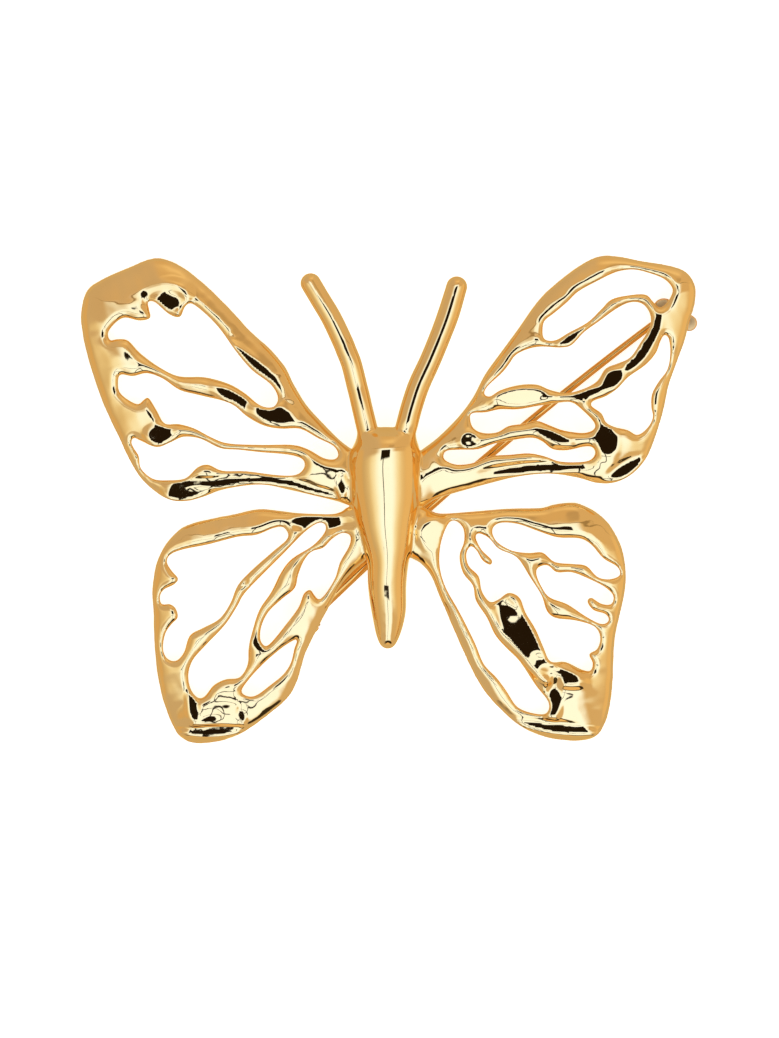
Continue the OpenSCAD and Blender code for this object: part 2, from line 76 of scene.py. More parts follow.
lowerRightEdge = [
    (35, -7), (43, -10.7), (54, -13.5), (84, -11.5), (120, -8.5), (152, -7.5), (167, -4), (186, -2),
    (203, -8), (219, -20), (231, -38), (238, -60), (239, -84), (235, -108), (229, -134), (227, -158),
    (226, -186), (222, -214), (214, -232.5), (201, -241.5), (181, -242.5), (155, -238), (131, -226),
    (109, -207), (91, -184), (77, -156), (63, -124), (52, -98), (43, -76), (32, -63), (18, -55),
    (8, -40), (8, -16), (22, -3)]
openingUlA = [
    (-279, 161), (-281, 169), (-273, 179), (-264, 183.5), (-250, 180.5), (-239, 183), (-240, 192),
    (-241, 199), (-234, 199), (-220, 187), (-209, 184), (-204, 194), (-197, 197.5), (-182, 186),
    (-168, 171), (-153, 150), (-137, 131), (-118, 116.5), (-110.5, 103), (-115, 93.5), (-128, 95),
    (-143, 107), (-160, 117), (-184, 123.5), (-210, 124.5), (-230, 134), (-249, 148), (-261, 160.5),
    (-272, 162)]
openingUlB = [
    (-271, 116), (-269, 126), (-256, 124.5), (-242, 127.5), (-226, 122), (-209, 110.5), (-188, 105),
    (-158, 97), (-141, 83.5), (-124, 74.5), (-107, 71.5), (-88, 71.5), (-70, 62), (-55, 54.5),
    (-50, 46), (-54, 41), (-65, 42.5), (-80, 51), (-96, 55.5), (-126, 55.5), (-160, 57), (-178, 63.5),
    (-194, 72), (-210, 76.5), (-224, 77), (-232, 90), (-240, 102.5), (-245, 101), (-251, 96.5),
    (-261, 101), (-269, 108)]
openingUlC = [
    (-257.5, 58), (-255, 62.5), (-247, 59), (-232, 53), (-218, 58), (-205, 63.5), (-188, 61.5),
    (-168, 52), (-150, 50.5), (-128, 48), (-100, 45.5), (-86, 41), (-84, 33), (-92, 25.5), (-110, 25),
    (-142, 29), (-166, 29.5), (-180, 35.5), (-191, 33), (-203, 22), (-220, 20), (-236, 21.5),
    (-248, 32), (-250, 44), (-255, 52)]
openingUrA = [
    (156, 163), (155, 171), (157, 180), (167, 188), (180, 199), (191, 209.5), (210, 220), (229, 229),
    (246, 231.5), (262, 228), (277, 222), (285, 213), (284, 205.5), (278.5, 197), (272, 193.5),
    (266, 199), (258, 206.5), (240, 205.5), (224, 201.5), (214, 192), (200, 178.5), (181, 168),
    (169, 161), (161, 160)]
openingUrB = [
    (96.5, 107), (100, 114.5), (114, 127.5), (121, 136), (128, 145.5), (140, 151.5), (154, 154),
    (172, 153), (184, 155.5), (196, 168), (211, 179), (229, 192), (243, 198.5), (255, 197),
    (262.5, 187), (262.5, 174), (253, 158), (243, 143.5), (231, 137.5), (218, 132), (210, 120),
    (198, 112.5), (180, 107.5), (163, 110.5), (149, 116), (131, 115.5), (113, 110.5), (102, 104)]
openingUrC = [
    (277, 165.5), (281.5, 162), (283, 147), (280, 131), (271, 118.5), (264.5, 106), (264, 93),
    (265.5, 83), (260, 72.5), (250, 65.5), (240, 70.5), (227, 73.5), (218.5, 78), (214, 87),
    (204, 94.5), (206, 99.5), (218, 104), (230, 112), (241, 123.5), (258, 135.5), (268.5, 147.5),
    (273, 159)]
openingUrD = [
    (82.5, 80), (84, 87), (98, 88), (112, 91), (130, 91), (150, 94.5), (170, 97.5), (184, 98),
    (195, 90), (206, 78.5), (206.5, 71.5), (196, 67.5), (176, 70), (161, 75.5), (149, 79.5),
    (135, 76.5), (121, 74.5), (109, 68), (95, 67.5), (86, 72)]
openingUrE = [
    (55.5, 44), (59, 49.5), (72, 50.5), (90, 51), (106, 56.5), (124, 60), (144, 62.5), (155, 58.5),
    (165, 51), (180, 50), (196, 53.5), (204.5, 53), (207.5, 47), (202, 40), (188, 38), (171, 39),
    (157, 44), (141, 47), (122, 45.5), (102, 44), (86, 37.5), (70, 35.5), (59, 39)]
openingLlA = [
    (-106, -27), (-100.5, -33), (-102, -40), (-116, -52), (-137, -70.5), (-151, -86), (-158, -103),
    (-169, -119), (-186, -128.5), (-199, -136), (-205, -153), (-213, -161.5), (-222, -159),
    (-226, -149), (-223.5, -134), (-217, -124.5), (-211, -118), (-213, -109), (-219, -104.5),
    (-227, -104.5), (-229, -97), (-225, -90), (-215, -85), (-210.5, -79), (-217, -71), (-222, -62),
    (-218, -54.5), (-205, -49.5), (-180, -44.5), (-151, -37), (-132, -35), (-116, -28.5)]
openingLlB = [
    (-70, -23), (-63, -25), (-64, -33), (-76, -46), (-96, -58.5), (-107, -72), (-117, -92),
    (-129, -110), (-136, -131), (-140, -149), (-141, -165), (-149, -178), (-163, -180), (-175, -186),
    (-184, -197), (-191, -198.5), (-198, -190), (-200.5, -176), (-196, -161), (-183, -146),
    (-164, -126), (-152, -108), (-144, -94), (-127, -76), (-104, -53), (-84, -32.5)]
openingLlC = [
    (-46, -33), (-38, -36), (-39, -46), (-48, -62), (-53, -78), (-62, -93), (-69, -99.5), (-74, -95),
    (-78, -90), (-84.5, -94), (-90, -108), (-103, -125.5), (-116, -141.5), (-123, -146.5), (-128, -140),
    (-127, -127), (-120, -112.5), (-106, -99), (-93.5, -88.5), (-90, -75), (-84, -60.5), (-76, -51.5),
    (-65, -48), (-56, -39)]
openingLlD = [
    (-91.5, -140), (-94, -149), (-97.5, -163), (-105, -175), (-119, -186.5), (-132, -196), (-141, -197),
    (-147, -192), (-141, -182), (-131, -170.5), (-118, -158), (-103, -146)]
openingLrA = [
    (62, -22), (69, -21.5), (75.5, -29), (76, -42), (71.5, -56), (75, -73), (85, -86), (88, -101),
    (99, -118), (107, -135), (118, -148), (132, -162), (148, -186), (161, -203), (159, -214),
    (147, -214.5), (130, -208), (119, -192), (109, -178.5), (96, -164.5), (87, -143), (72, -113),
    (58, -88), (52, -68), (52, -49), (56, -33)]
openingLrB = [
    (83, -46.5), (78.5, -54), (81, -66), (91, -76.5), (94, -91), (102, -102), (111, -99.5), (121, -93),
    (132, -98), (138, -113), (148, -129.5), (156, -148), (163, -162), (178, -162.5), (194, -170),
    (203, -171.5), (205.5, -164), (202, -155), (210, -149.5), (213, -138), (207, -127), (188, -121),
    (168, -118.5), (159, -111), (154, -96), (142, -77), (129, -57.5), (111, -49), (101, -38),
    (91, -33.5), (88, -38), (94, -50), (104, -60), (102.5, -65), (94.5, -60.5), (89, -51)]
openingLrC = [
    (112, -23), (104.5, -30), (109, -41.5), (124, -50.5), (141, -53), (155, -52.5), (167, -62),
    (185, -64), (199, -66), (210, -77), (222, -79.5), (232.5, -75.5), (230, -67), (216, -58.5),
    (204, -45), (192, -38.5), (170, -37.5), (150, -31), (130, -24)]
openingLrD = [
    (149, -75), (150.5, -68), (160, -65.5), (169, -72.5), (184, -72.5), (200, -78.5), (217, -87),
    (226, -96), (224, -104.5), (214, -104), (204, -98), (200, -102), (206, -110.5), (218, -114.5),
    (221.5, -121), (214, -124.5), (198, -116.5), (180, -104.5), (162, -97.5), (154, -87)]

# Sections of the body: chart height, left side, right side, share of bodyFront, share of bodyBack.
bodyRows = [
    (74, -12, 8, 0.1, 0.2), (71.5, -24, 19, 0.38, 0.4), (69, -27.5, 22.5, 0.56, 0.55),
    (63, -31, 26.5, 0.82, 0.8), (54, -35.5, 31, 0.974, 0.95), (46, -38, 32.5, 1, 1),
    (34, -39.5, 33, 0.988, 1), (10, -38.5, 31.5, 0.956, 1), (-15, -33, 28.8, 0.905, 0.96),
    (-40, -27, 24.8, 0.845, 0.9), (-62, -21.3, 20.5, 0.775, 0.84), (-85, -19.7, 19, 0.705, 0.8),
    (-108, -17.8, 17.8, 0.605, 0.75), (-128, -13.8, 14.4, 0.485, 0.68),
    (-141, -9.6, 10.2, 0.38, 0.55), (-149, -4, 4.5, 0.17, 0.3)]

# Sections of the antennae: chart right, chart up, share of antennaD, share of antennaLift.
leftAntenna = [
    (-17, 54, 0.96, 0.9), (-21.5, 74, 0.98, 0.93), (-26, 93, 0.97, 1.09), (-28.5, 104, 0.97, 1.12),
    (-31, 114, 0.97, 1.1), (-36.5, 136, 0.97, 1.32), (-41.5, 149, 0.97, 1.38), (-46, 160, 0.97, 1.33),
    (-57, 183, 0.96, 1.02), (-68, 201.5, 0.95, 0.71), (-77.5, 217.5, 0.95, 0.3)]
rightAntenna = [
    (13, 54, 1, 0.6), (18.5, 74, 1.02, 1.15), (23.5, 93, 1.02, 1.12), (31, 115.5, 1.02, 1),
    (42, 139.5, 1, 0.86), (52.5, 165, 1, 0.7), (61, 188, 1.02, 0.54), (68.8, 214, 0.98, 0.3)]

# The wings' fine form. Lengths in mm.
relief = {
    "wideRoll": 5.0,                       # the front's outer rim falls slowly over this width
    "narrowRim": 0.26, "narrowRoll": 1.1,  # and by this share of its thickness faster at its edge
    "lip": 0.34, "lipRoll": 1.1,           # share that it falls by towards each opening
    "corner": 0.3,                         # roundness where the front turns into the edge
    "slant": 0.9,                          # a height times this is about the distance to the surface
    "evenFall": 0.35,                      # share of the wings' droop that keeps step with the way gone
    "wave": 0.042,                         # height of the wax's waves on the front
    "waveOver": 0.35,                      # share of the waves that runs over the facets too
    "backWave": 0.045,                     # how far the back's waves lie inside its level, on average
    "facetCore": 0.75, "facetFade": 1.45,  # where a facet's pull starts to fade and ends, in its sizes
    "toCamera": -0.04,                     # slope upwards of a facet that mirrors the dark camera
}

# Facets thumbed into the wax: chart right, chart up, half length, half width, turn in degrees,
# slope to the right, and slope upwards over that of one that mirrors the camera.
facets = [
    # upper left
    (-222, 206, 21, 14, 5, 0.17, 0.07), (-221, 199, 15, 9, 0, 0, 0), (-135, 137, 32, 6, -41, 0, 0),
    (-155, 102, 22, 8, -33, 0, 0), (-116, 87, 20, 11, -15, 0, 0), (-229, 65, 14, 11, 10, 0, 0),
    (-203, 8, 24, 12, 16, 0.03, 0), (-160, 18, 34, 6, 4, 0.05, 0), (-112, 18, 32, 5, -4, 0.05, 0),
    (-72, 9, 26, 5, -14, 0.03, 0), (-46, 14, 5, 12, 0, 0, 0),
    # upper right
    (193, 107, 21, 7, 10, 0, 0), (226, 121, 12, 10, 40, 0, 0), (251, 147, 21, 8, 52, 0, 0),
    (267, 171, 15, 6, 75, 0, 0), (219, 60, 11, 18, 8, 0, 0), (240, 31, 22, 9, 27, 0, 0),
    (165, 64, 18, 6, -22, 0, 0), (148, 31, 46, 7, 3, -0.01, 0), (81, 60, 9, 9, 0, 0, 0),
    (185, 164, 18, 6, 38, 0, 0), (130, 104, 26, 9, 4, -0.08, 0.14),
    # lower left
    (-70, -22, 28, 10, -3, 0, 0), (-168, -215, 32, 15, 6, -0.03, 0.15), (-180, -223, 12, 8, 30, 0, 0),
    (-196, -209, 6, 16, 10, 0, 0), (-177, -233, 30, 6, 2, 0.02, 0), (-147, -217, 4, 9, 8, 0, 0),
    (-147, -82, 6, 6, 0, 0, 0), (-132, -144, 9, 6, -40, 0, 0),
    # lower right
    (46, -34, 14, 16, 0, -0.18, 0.12), (134, -136, 45, 14, -57, -0.03, 0.01),
    (160, -171, 18, 10, -42, -0.05, 0.01), (177, -178, 20, 9, -14, -0.05, 0.01),
    (166, -203, 8, 20, -5, 0, 0), (168, -229, 42, 7, -8, -0.04, 0.02)]

# Small swells: chart right, chart up, radius, height in mm.
swells = [
    (-162, -214, 10, 0.16), (80, 61, 6, -0.12), (125, -114, 7, 0.1), (-203, 14, 9, 0.08),
    (250, 150, 5, 0.06), (244, 140, 4, -0.06), (224, 72, 6, 0.08), (-232, 118, 12, 0.08),
    (-40, 24, 9, 0.12), (52, 20, 14, -0.1), (160, 36, 10, -0.08), (140, 30, 8, 0.07),
    (-236, 68, 9, -0.09)]

# Each wing: edge, openings, root, the corner that lies lowest, that corner's lift, and the share of
# the front's thickness by which the wide roll falls.
wings = [
    (upperLeftEdge, [openingUlA, openingUlB, openingUlC], (-40, 0), (-300, 200), casting["back"], 0.66),
    (upperRightEdge, [openingUrA, openingUrB, openingUrC, openingUrD, openingUrE],
     (40, 0), (300, 205), casting["catchLift"], 0.74),
    (lowerLeftEdge, [openingLlA, openingLlB, openingLlC, openingLlD], (-40, 0), (-200, -240),
     casting["back"], 0.66),
    (lowerRightEdge, [openingLrA, openingLrB, openingLrC, openingLrD], (40, 0), (205, -238),
     casting["back"], 0.72)]


def place(chart):
    # Chart parts to millimetres: each is its share of the span or of the height.
    return np.array(chart, float) * [casting["span"] / casting["chartSpan"],
                                     casting["height"] / casting["chartHeight"]]


def cubic(a, b, c, d, t):
    # Catmull-Rom: a cubic from b to c that leaves along the line from a to c and arrives along the
    # line from b to d.
    return 0.5 * (2 * b + (c - a) * t + (2 * a - 5 * b + 4 * c - d) * t ** 2
                  + (3 * b - a - 3 * c + d) * t ** 3)


def closedCurve(chart, steps=4):
    # A smooth loop through charted points: one cubic for each stretch, several steps to a stretch.
    p = place(chart)[:, None, :]
    t = (np.arange(steps) / steps)[None, :, None]
    return cubic(np.roll(p, 1, 0), p, np.roll(p, -1, 0), np.roll(p, -2, 0), t).reshape(-1, 2)


def openCurve(rows, steps=6):
    # The same through the rows of a table, with the first and the last row as its ends.
    p = np.array(rows, float)
    p = np.vstack([2 * p[0] - p[1], p, 2 * p[-1] - p[-2]])[:, None, :]
    t = (np.arange(steps) / steps)[None, :, None]
    inner = cubic(p[:-3], p[1:-2], p[2:-1], p[3:], t).reshape(-1, p.shape[-1])
    return np.vstack([inner, p[-2]])


def depthInside(x, y, curve):
    # How far inside a loop each point lies, negative outside: the least distance to any stretch,
    # with a sign that turns over each time a level ray from the point crosses the loop.
    nearest = np.full(x.shape, np.inf)
    inside = np.zeros(x.shape, bool)
    for (ax, ay), (bx, by) in zip(curve, np.roll(curve, -1, 0)):
        ux, uy = bx - ax, by - ay
        along = np.clip(((x - ax) * ux + (y - ay) * uy) / (ux * ux + uy * uy + 1e-12), 0, 1)
        nearest = np.minimum(nearest, (x - ax - along * ux) ** 2 + (y - ay - along * uy) ** 2)
        if ay != by:
            inside ^= ((ay > y) != (by > y)) & (x < ax + (y - ay) * ux / uy)
    return np.where(inside, 1, -1) * np.sqrt(nearest)


# The plan grid on which the wings' thickness and level are charted. Lengths in mm.
plan = {
    "step": 0.125, "halfWide": 42, "halfTall": 33.5,
    "edgeMargin": 6, "openingMargin": 2,   # how far past a loop its depth is worked out
    "beyond": 4.0,                         # stands for a place clear of all metal
}
planX = np.arange(-plan["halfWide"], plan["halfWide"] + plan["step"] / 2, plan["step"])
planY = np.arange(-plan["halfTall"], plan["halfTall"] + plan["step"] / 2, plan["step"])
planGridX, planGridY = np.meshgrid(planX, planY, indexing="ij")


def planDepth(chart, margin):
    # depthInside of a charted loop over the plan grid, worked out near it and flat beyond the margin.
    curve = closedCurve(chart)
    low, high = curve.min(0) - margin, curve.max(0) + margin
    i = slice(*np.searchsorted(planX, [low[0], high[0]]))
    j = slice(*np.searchsorted(planY, [low[1], high[1]]))
    depth = np.full(planGridX.shape, -float(margin))
    depth[i, j] = np.maximum(depthInside(planGridX[i, j], planGridY[i, j], curve), -margin)
    return depth


def rise(depth, width):
    # A parabola from 0 at the edge to 1 at the width, level beyond.
    q = np.clip(depth / width, 0, 1)
    return 2 * q - q * q


def softMax(a, b, reach):
    # The larger of two, and where they differ by less than the reach a round join:
    # (1 - difference / reach)^2 * reach / 4 more.
    h = np.clip(1 - np.abs(a - b) / reach, 0, 1)
    return np.maximum(a, b) + h * h * reach / 4


def softMin(a, b, reach):
    # The smaller of two, with the same round join.
    return -softMax(-a, -b, reach)


def planMaps():
    # For each plan point: how far it lies inside the metal, the height of the front surface and of
    # the back. The middle surface falls from the root towards the corner, partly in step with the
    # way gone and partly with its square. The front is full in the middle of the metal and falls to
    # its edges by parabolas: a wide one from the outer edge, a narrow one there, one at each opening.
    # The back rounds over by the roots of parabolas, which makes each edge a quarter round.
    inMetal = np.full(planGridX.shape, -plan["beyond"])
    front, back = inMetal.copy(), -inMetal
    narrow, lip, even = relief["narrowRim"], relief["lip"], relief["evenFall"]
    for edge, openings, root, corner, low, wide in wings:
        depth = planDepth(edge, plan["edgeMargin"])
        mine = depth
        share = (1 - wide - narrow + wide * rise(depth, relief["wideRoll"])
                 + narrow * rise(depth, relief["narrowRoll"]))
        under = np.sqrt(rise(depth, casting["backRoll"]))
        for chart in openings:
            away = -planDepth(chart, plan["openingMargin"])
            mine = np.minimum(mine, away)
            share = share * (1 - lip + lip * rise(away, relief["lipRoll"]))
            under = under * np.sqrt(rise(away, casting["backEdge"]))
        root, corner = place(root), place(corner)
        way = np.hypot(planGridX - root[0], planGridY - root[1]) / np.linalg.norm(corner - root)
        fall = even * way + (1 - even) * way ** 2
        level = casting["midLift"] - (casting["midLift"] - low) * fall
        inMetal = np.maximum(inMetal, mine)
        near = mine > -1
        front = np.where(near, softMax(front, level + casting["front"] * share, casting["join"]), front)
        back = np.where(near, softMin(back, level - casting["back"] * under, casting["join"]), back)
    return inMetal, front, back


def waves(x, y):
    # Soft waves of the modelling wax: three products of sines, each finer and lower than the one
    # before. The numbers beside x and y are radians to the millimetre.
    broad = np.sin(0.75 * x + 1.3 * np.sin(0.31 * y)) * np.sin(0.62 * y + 1.1 * np.sin(0.27 * x))
    finer = 0.6 * np.sin(1.25 * x + 0.8 * y + 2) * np.sin(0.5 * x - 1.15 * y)
    finest = 0.25 * np.sin(2.6 * x - 1.1 * y + np.sin(1.3 * y)) * np.sin(1.2 * x + 2.3 * y)
    return relief["wave"] * (broad + finer + finest)


def swollen(x, y):
    # The small swells, each a bell: height * exp(-(distance / radius)^2).
    z = np.zeros(x.shape)
    for chartX, chartY, radius, height in swells:
        middle, size = place((chartX, chartY)), place((radius, radius))
        z = z + height * np.exp(-((x - middle[0]) / size[0]) ** 2 - ((y - middle[1]) / size[1]) ** 2)
    return z


def pressed(front):
    # Facets: inside an ellipse the front is drawn towards a plane through its own height at the
    # ellipse's middle. The pull is full in the core and fades outwards as 3q^2 - 2q^3.
    core, fade = relief["facetCore"], relief["facetFade"]
    for chartX, chartY, long, wide, turn, slopeX, slopeY in facets:
        middle, size = place((chartX, chartY)), place((long, wide))
        dx, dy = planGridX - middle[0], planGridY - middle[1]
        c, s = math.cos(math.radians(turn)), math.sin(math.radians(turn))
        away = np.sqrt(((c * dx + s * dy) / size[0]) ** 2 + ((c * dy - s * dx) / size[1]) ** 2)
        pull = np.clip((fade - away) / (fade - core), 0, 1)
        pull = pull * pull * (3 - 2 * pull)
        height = front[np.abs(planX - middle[0]).argmin(), np.abs(planY - middle[1]).argmin()]
        front = front + pull * (height + slopeX * dx + (relief["toCamera"] + slopeY) * dy - front)
    return front


print("charting the wings")
inMetalMap, frontMap, backMap = planMaps()
wax = waves(planGridX, planGridY)
frontMap = pressed(frontMap + (1 - relief["waveOver"]) * wax)
frontMap = frontMap + relief["waveOver"] * wax + swollen(planGridX, planGridY)
backMap = backMap + relief["backWave"] * (1 + waves(planGridY, planGridX) / (2 * relief["wave"]))


def onPlan(chart, x, y):
    # A plan map read between its grid points, straight from side to side of each square.
    u = np.clip((x - planX[0]) / plan["step"], 0, len(planX) - 1.001)
    v = np.clip((y - planY[0]) / plan["step"], 0, len(planY) - 1.001)
    i, j = u.astype(int), v.astype(int)
    u, v = u - i, v - j
    return ((1 - u) * (1 - v) * chart[i, j] + u * (1 - v) * chart[i + 1, j]
            + (1 - u) * v * chart[i, j + 1] + u * v * chart[i + 1, j + 1])


def wingsField(x, y, z):
    # Inside the wings: under the front surface, over the back surface and inside the metal's edge.
    # The least of the three, with a round corner between front and edge. About millimetres.
    between = relief["slant"] * np.minimum(onPlan(frontMap, x, y) - z, z - onPlan(backMap, x, y))
    return softMin(between, onPlan(inMetalMap, x, y), relief["corner"])


# The body's table. Lengths in mm.
body = {
    "foot": -24, "head": 14, "step": 0.05,  # the table's reach along the body, past both its ends
    "footFall": 3, "headFall": 40,          # how fast the squared half width falls past the ends
    "smooth": 0.35, "bellSteps": 40,        # bell that it is smoothed by, cut off at so many steps
    "sway": 0.07,                           # how far the ridge sways from side to side
    "room": 8,                              # nothing of the body lies farther out from the middle
}
bodyY = np.arange(body["foot"], body["head"], body["step"])


def bodyColumns():
    # Half width squared, middle, depth before and depth behind, for each place in bodyY: smooth
    # curves through the charted rows. The squared half width goes on falling past both ends, below
    # zero, so the ends close round. Each column is then smoothed by a bell.
    up, left, right, front, back = np.array(bodyRows, float)[::-1].T
    height = place(np.stack([up, up], -1))[:, 1]
    half = (right - left) / 2 * casting["span"] / casting["chartSpan"]
    middle = (left + right) / 2 * casting["span"] / casting["chartSpan"]
    line = openCurve(np.stack([height, half ** 2, middle, front * casting["bodyFront"],
                               back * casting["bodyBack"]], -1))
    columns = np.array([np.interp(bodyY, line[:, 0], line[:, k]) for k in (1, 2, 3, 4)])
    columns[0] -= body["headFall"] * np.maximum(bodyY - line[-1, 0], 0)
    columns[0] -= body["footFall"] * np.maximum(line[0, 0] - bodyY, 0)
    n = body["bellSteps"]
    bell = np.exp(-0.5 * (np.arange(-n, n + 1) * body["step"] / body["smooth"]) ** 2)
    bell /= bell.sum()
    return np.array([np.convolve(np.pad(row, n, mode="edge"), bell, "valid") for row in columns])


bodyTable = bodyColumns()


def bodyField(x, y, z):
    # Half ellipses across, deeper in front than behind, whose width follows the body's table:
    # (half width squared - across squared - (height * half width / depth) squared) / (2 half widths).
    wideSquared, middle, front, back = (np.interp(y, bodyY, row) for row in bodyTable)
    middle = middle + body["sway"] * np.sin(0.8 * y + 1.0)
    wide = np.sqrt(np.maximum(wideSquared, 1.0))
    over = z - casting["midLift"]
    deep = np.where(over > 0, front, back)
    return (wideSquared - (x - middle) ** 2 - (over * wide / deep) ** 2) / (2 * wide)


# The room that the antennae keep to: along y, outwards from the middle line, and over the table.
antennaRoom = {"from": 3, "to": 32, "inner": -3, "outer": 14, "over": 2}


def antennaField(rows, x, y, z):
    # A round wire: its radius less the distance to the nearest stretch of its middle line.
    table = openCurve([(*place(row[:2]), casting["midLift"] + casting["antennaLift"] * row[3],
                        casting["antennaD"] / 2 * row[2]) for row in rows], 5)
    best = np.full(x.shape, -np.inf)
    for a, b in zip(table[:-1], table[1:]):
        u = b[:3] - a[:3]
        t = np.clip(((x - a[0]) * u[0] + (y - a[1]) * u[1] + (z - a[2]) * u[2]) / (u @ u), 0, 1)
        gone = (x - a[0] - t * u[0]) ** 2 + (y - a[1] - t * u[1]) ** 2 + (z - a[2] - t * u[2]) ** 2
        best = np.maximum(best, a[3] + t * (b[3] - a[3]) - np.sqrt(gone))
    return best


def castingField(x, y, z):
    # The larger of wings, body and antennae, with soft joins. Positive inside the metal.
    x, y, z = np.broadcast_arrays(x, y, z)
    shape = x.shape
    x, y, z = x.ravel(), y.ravel(), z.ravel()
    f = wingsField(x, y, z)
    near = (np.abs(x) < body["room"]) & (y > body["foot"]) & (y < body["head"])
    f[near] = softMax(f[near], bodyField(x[near], y[near], z[near]), casting["crease"])
    tall = (y > antennaRoom["from"]) & (y < antennaRoom["to"]) & (z > antennaRoom["over"])
    for rows, side in ((leftAntenna, -1), (rightAntenna, 1)):
        near = tall & (x * side > antennaRoom["inner"]) & (x * side < antennaRoom["outer"])
        f[near] = softMax(f[near], antennaField(rows, x[near], y[near], z[near]), casting["fillet"])
    return f.reshape(shape)


def fillPinches(field):
    # A grid square whose corners lie inside and outside by turns would pinch the skin to a single
    # edge there, so its outside corners are set just inside. The sign of each corner is compared
    # with the next one's round the square, in the three directions that squares can face.
    justInside = 0.001
    for axis in range(3):
        layers = np.moveaxis(field, axis, 0)
        square = [layers[:, :-1, :-1], layers[:, 1:, :-1], layers[:, 1:, 1:], layers[:, :-1, 1:]]
        inside = [corner > 0 for corner in square]
        byTurns = (inside[0] != inside[1]) & (inside[1] != inside[2]) & (inside[2] != inside[3])
        for corner, within in zip(square, inside):
            corner[byTurns & ~within] = justInside


def skin(field, low, cell):
    # Surface nets: a vertex in each grid cell that the surface crosses, at the mean of its
    # crossings, and a four sided face round each grid edge with one end inside and one outside.
    n = np.array(field.shape) - 1
    corners = np.array([(i, j, k) for i in (0, 1) for j in (0, 1) for k in (0, 1)])
    inside = field > 0
    count = sum(inside[i:n[0] + i, j:n[1] + j, k:n[2] + k].astype(np.int8) for i, j, k in corners)
    cells = np.argwhere((count > 0) & (count < 8))
    number = np.full(count.shape, -1)
    number[tuple(cells.T)] = np.arange(len(cells))
    at = cells[:, None, :] + corners[None]
    value = field[at[..., 0], at[..., 1], at[..., 2]]
    total, crossings = np.zeros((len(cells), 3)), np.zeros((len(cells), 1))
    for a in range(8):
        for b in range(a + 1, 8):
            if np.abs(corners[a] - corners[b]).sum() != 1:
                continue
            cut = ((value[:, a] > 0) != (value[:, b] > 0))[:, None]
            t = (value[:, a] / np.where(cut[:, 0], value[:, a] - value[:, b], 1))[:, None]
            total += np.where(cut, corners[a] + t * (corners[b] - corners[a]), 0)
            crossings += cut
    verts = low + (cells + total / crossings) * cell
    faces = []
    for axis in range(3):
        p, q = (axis + 1) % 3, (axis + 2) % 3
        ahead, behind = [slice(None)] * 3, [slice(None)] * 3
        ahead[axis], behind[axis] = slice(1, None), slice(None, -1)
        edges = np.argwhere(inside[tuple(behind)] != inside[tuple(ahead)])
        outward = inside[tuple(edges.T)]
        ring = []
        for dp, dq in ((1, 1), (0, 1), (0, 0), (1, 0)):
            c = edges.copy()
            c[:, p] -= dp
            c[:, q] -= dq
            ring.append(number[tuple(c.T)])
        ring = np.array(ring).T
        faces.append(np.where(outward[:, None], ring, ring[:, ::-1]))
    return verts, np.vstack(faces)


def settle(verts, faces, field, rounds=4):
    # Evens out the faces: each vertex goes half way to the mean of its neighbours, and then twice
    # back towards the surface, by field * slope / slope squared, no farther than mostMove at once.
    aside, mostMove, leastSquare = 0.06, 0.2, 0.05   # mm, mm, and least slope squared
    a, b = faces.ravel(), np.roll(faces, -1, 1).ravel()
    n = len(verts)
    shared = np.bincount(a, minlength=n) + np.bincount(b, minlength=n)
    for turn in range(rounds):
        mean = np.array([(np.bincount(a, verts[b, k], n) + np.bincount(b, verts[a, k], n)) / shared
                         for k in range(3)]).T
        verts = 0.5 * verts + 0.5 * mean
        for step in range(2):
            f = field(*verts.T)
            slope = np.array([(field(*(verts + aside * e).T) - field(*(verts - aside * e).T)) / (2 * aside)
                              for e in np.eye(3)]).T
            move = f[:, None] * slope / np.maximum((slope ** 2).sum(1, keepdims=True), leastSquare)
            reach = np.linalg.norm(move, axis=1, keepdims=True)
            verts = verts - move * np.minimum(1, mostMove / np.maximum(reach, 1e-9))
    return verts


def makePiece(name, verts, faces, material):
    # A mesh of four sided faces: corners times 0.001 for metres, set as whole arrays, smooth shaded.
    mesh = bpy.data.meshes.new(name)
    mesh.vertices.add(len(verts))
    mesh.vertices.foreach_set("co", (np.asarray(verts) * 0.001).astype(np.float32).ravel())
    mesh.loops.add(faces.size)
    mesh.loops.foreach_set("vertex_index", faces.astype(np.int32).ravel())
    mesh.polygons.add(len(faces))
    mesh.polygons.foreach_set("loop_start", np.arange(0, faces.size, faces.shape[1], dtype=np.int32))
    mesh.polygons.foreach_set("use_smooth", np.ones(len(faces), bool))
    mesh.update(calc_edges=True)
    mesh.validate()
    mesh.materials.append(material)
    piece = bpy.data.objects.new(name, mesh)
    bpy.context.scene.collection.objects.link(piece)
    return piece


print("skinning the casting")
gridLow, gridHigh = np.array([-41.2, -32.7, -0.9]), np.array([41.2, 32.7, 10.4])   # holds it all, mm
counts = np.ceil((gridHigh - gridLow) / casting["cell"]).astype(int) + 1
gridX, gridY, gridZ = (gridLow[k] + casting["cell"] * np.arange(counts[k]) for k in range(3))
castField = np.stack([castingField(gridX[:, None], gridY[None, :], level) for level in gridZ], axis=2)
for turn in range(3):   # a square once filled can pinch the next
    fillPinches(castField)
castVerts, castFaces = skin(castField, gridLow, casting["cell"])
castVerts = settle(castVerts, castFaces, castingField)
print("casting:", len(castFaces), "faces, box", castVerts.min(0).round(2), castVerts.max(0).round(2))


def toLinear(code):
    # sRGB hex to the linear values that shaders use.
    c = np.array([int(code[i:i + 2], 16) for i in (1, 3, 5)]) / 255
    return tuple(np.where(c <= 0.04045, c / 12.92, ((c + 0.055) / 1.055) ** 2.4)) + (1.0,)


